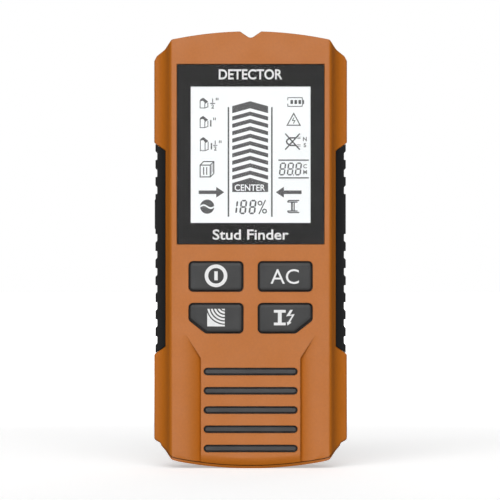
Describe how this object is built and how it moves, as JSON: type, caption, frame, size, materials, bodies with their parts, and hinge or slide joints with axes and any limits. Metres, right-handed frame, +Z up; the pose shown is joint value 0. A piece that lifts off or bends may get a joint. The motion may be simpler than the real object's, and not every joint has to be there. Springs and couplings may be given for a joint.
{
  "type": "stud finder",
  "caption": "Handheld wall scanner in an orange casing with black side grips, a large framed display, front keys, a slotted lower panel and a hinged battery door.",
  "frame": {"origin": "centre of the footprint, on the surface the scanner stands on, halfway through its thickness", "axes": "+Z up along the scanner towards the notched marking end, +Y out of its flat back towards the wall it is held against, -Y out of the display, +X to the right of someone facing the display"},
  "size_m": [0.082, 0.0329, 0.1851],
  "materials": {
    "casing": "ochre orange moulded plastic with a fine satin texture",
    "grip_rubber": "black moulded rubber, matt",
    "key_rubber": "dark grey silicone rubber, matt, white printed symbols",
    "inlay": "dark grey moulded plastic, matt",
    "lens": "clear polished acrylic",
    "lens_print": "black printed border behind the lens",
    "display": "pale liquid-crystal glass with grey segments",
    "backlight": "white diffusing plastic",
    "white_plastic": "off-white moulded plastic",
    "connector_rubber": "striped elastomer strip",
    "board": "green solder mask with fine copper tracks",
    "component": "black moulded component bodies",
    "copper": "enamelled copper wire, wound in fine turns",
    "battery": "dark printed metal sleeve with bare steel terminals",
    "clip": "black vinyl snap clip",
    "lead_red": "red insulated wire",
    "lead_black": "black insulated wire",
    "felt": "short black felt",
    "foam": "soft black foam",
    "label": "silver-grey self-adhesive foil, blank",
    "screw": "zinc-plated steel with a cross recess"
  },
  "bodies": {
    "scanner_body": {"front_casing": "casing", "rear_casing": "casing", "left_grip": "grip_rubber", "right_grip": "grip_rubber", "grille_inlay": "inlay", "display_lens": "lens", "lens_mask": "lens_print", "lcd_panel": "display", "lcd_backlight": "backlight", "lcd_frame": "white_plastic", "coil_bobbin": "white_plastic", "sensor_ribbon": "white_plastic", "lcd_connector": "connector_rubber", "main_pcb": "board", "sensor_board": "board", "switch_stud": "component", "switch_power": "component", "switch_metal": "component", "switch_ac": "component", "switch_side": "component", "mcu_chip": "component", "amplifier_chip": "component", "buzzer": "component", "coil_winding": "copper", "battery": "battery", "battery_clip": "clip", "lead_positive": "lead_red", "lead_negative": "lead_black", "glide_pad_upper": "felt", "glide_pad_left": "felt", "glide_pad_right": "felt", "rating_label": "label", "casing_screw_1": "screw", "casing_screw_2": "screw", "casing_screw_3": "screw", "casing_screw_4": "screw", "pcb_screw_1": "screw", "pcb_screw_2": "screw", "pcb_screw_3": "screw", "pcb_screw_4": "screw"},
    "key_stud_body": {"key_stud": "key_rubber", "plunger_stud": "white_plastic"},
    "key_power_body": {"key_power": "key_rubber", "plunger_power": "white_plastic"},
    "key_metal_body": {"key_metal": "key_rubber", "plunger_metal": "white_plastic"},
    "key_ac_body": {"key_ac": "key_rubber", "plunger_ac": "white_plastic"},
    "key_side_body": {"key_side": "key_rubber", "plunger_side": "white_plastic"},
    "battery_door_body": {"battery_door": "casing", "battery_foam": "foam"}
  },
  "joints": [
    {"name": "press_stud", "type": "slide", "parent": "scanner_body", "child": "key_stud_body", "axis": [0, 1, 0], "range_m": [0, 0.0008], "stiffness_N_per_m": 1500},
    {"name": "press_power", "type": "slide", "parent": "scanner_body", "child": "key_power_body", "axis": [0, 1, 0], "range_m": [0, 0.0008], "stiffness_N_per_m": 1500},
    {"name": "press_metal", "type": "slide", "parent": "scanner_body", "child": "key_metal_body", "axis": [0, 1, 0], "range_m": [0, 0.0008], "stiffness_N_per_m": 1500},
    {"name": "press_ac", "type": "slide", "parent": "scanner_body", "child": "key_ac_body", "axis": [0, 1, 0], "range_m": [0, 0.0008], "stiffness_N_per_m": 1500},
    {"name": "press_side", "type": "slide", "parent": "scanner_body", "child": "key_side_body", "axis": [1, 0, 0], "range_m": [0, 0.0008], "stiffness_N_per_m": 1500},
    {"name": "battery_door_swing", "type": "hinge", "parent": "scanner_body", "child": "battery_door_body", "pos_m": [0, 0.0137, 0.0653], "axis": [1, 0, 0], "range_deg": [0, 95]}
  ]
}
